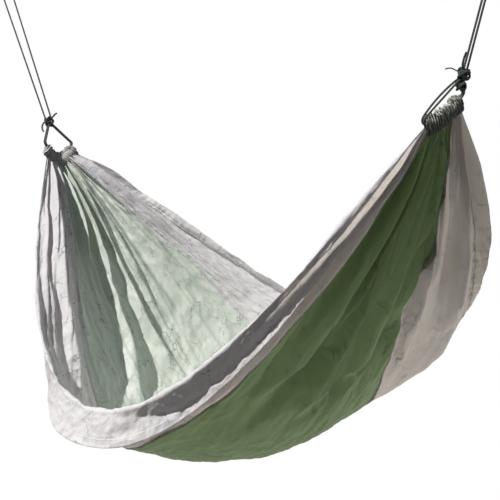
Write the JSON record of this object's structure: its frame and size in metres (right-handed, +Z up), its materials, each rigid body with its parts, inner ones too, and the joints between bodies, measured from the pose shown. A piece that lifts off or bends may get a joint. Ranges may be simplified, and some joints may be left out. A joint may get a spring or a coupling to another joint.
{
  "type": "hammock",
  "caption": "Gathered-end cloth hammock with long sewn panels, bunched on cords and slung by doubled ropes from steel links.",
  "frame": {"origin": "the point inside the left link's apex where a hook bears", "axes": "+X from the left link towards the right link, seen from the open near side; +Y away from the near side; +Z up"},
  "size_m": [2.1244, 1.1509, 1.7063],
  "materials": {
    "green_nylon": "thin crinkled nylon",
    "grey_nylon": "thin crinkled nylon",
    "hem_nylon": "turned and stitched nylon",
    "seam_nylon": "felled and stitched nylon",
    "gathered_nylon": "tightly gathered nylon",
    "cord": "braided synthetic cord",
    "steel": "zinc plated"
  },
  "bodies": {
    "links": {"left_link": "steel", "right_link": "steel"},
    "hammock": {"centre_panel": "green_nylon", "near_side_panel": "grey_nylon", "far_side_panel": "grey_nylon", "near_seam": "seam_nylon", "far_seam": "seam_nylon", "near_hem": "hem_nylon", "far_hem": "hem_nylon", "left_channel": "gathered_nylon", "right_channel": "gathered_nylon", "left_rope": "cord", "right_rope": "cord", "left_gather_cord": "cord", "right_gather_cord": "cord", "left_tail_long": "cord", "left_tail_short": "cord", "right_tail_long": "cord", "right_tail_short": "cord", "left_knot": "cord", "right_upper_knot": "cord", "right_lower_knot": "cord"}
  },
  "joints": [
    {"name": "swing", "type": "hinge", "parent": "links", "child": "hammock", "pos_m": [-0.0083, 0, -0.05336], "axis": [0.9881, 0, -0.1538], "range_deg": [-35, 35]}
  ]
}
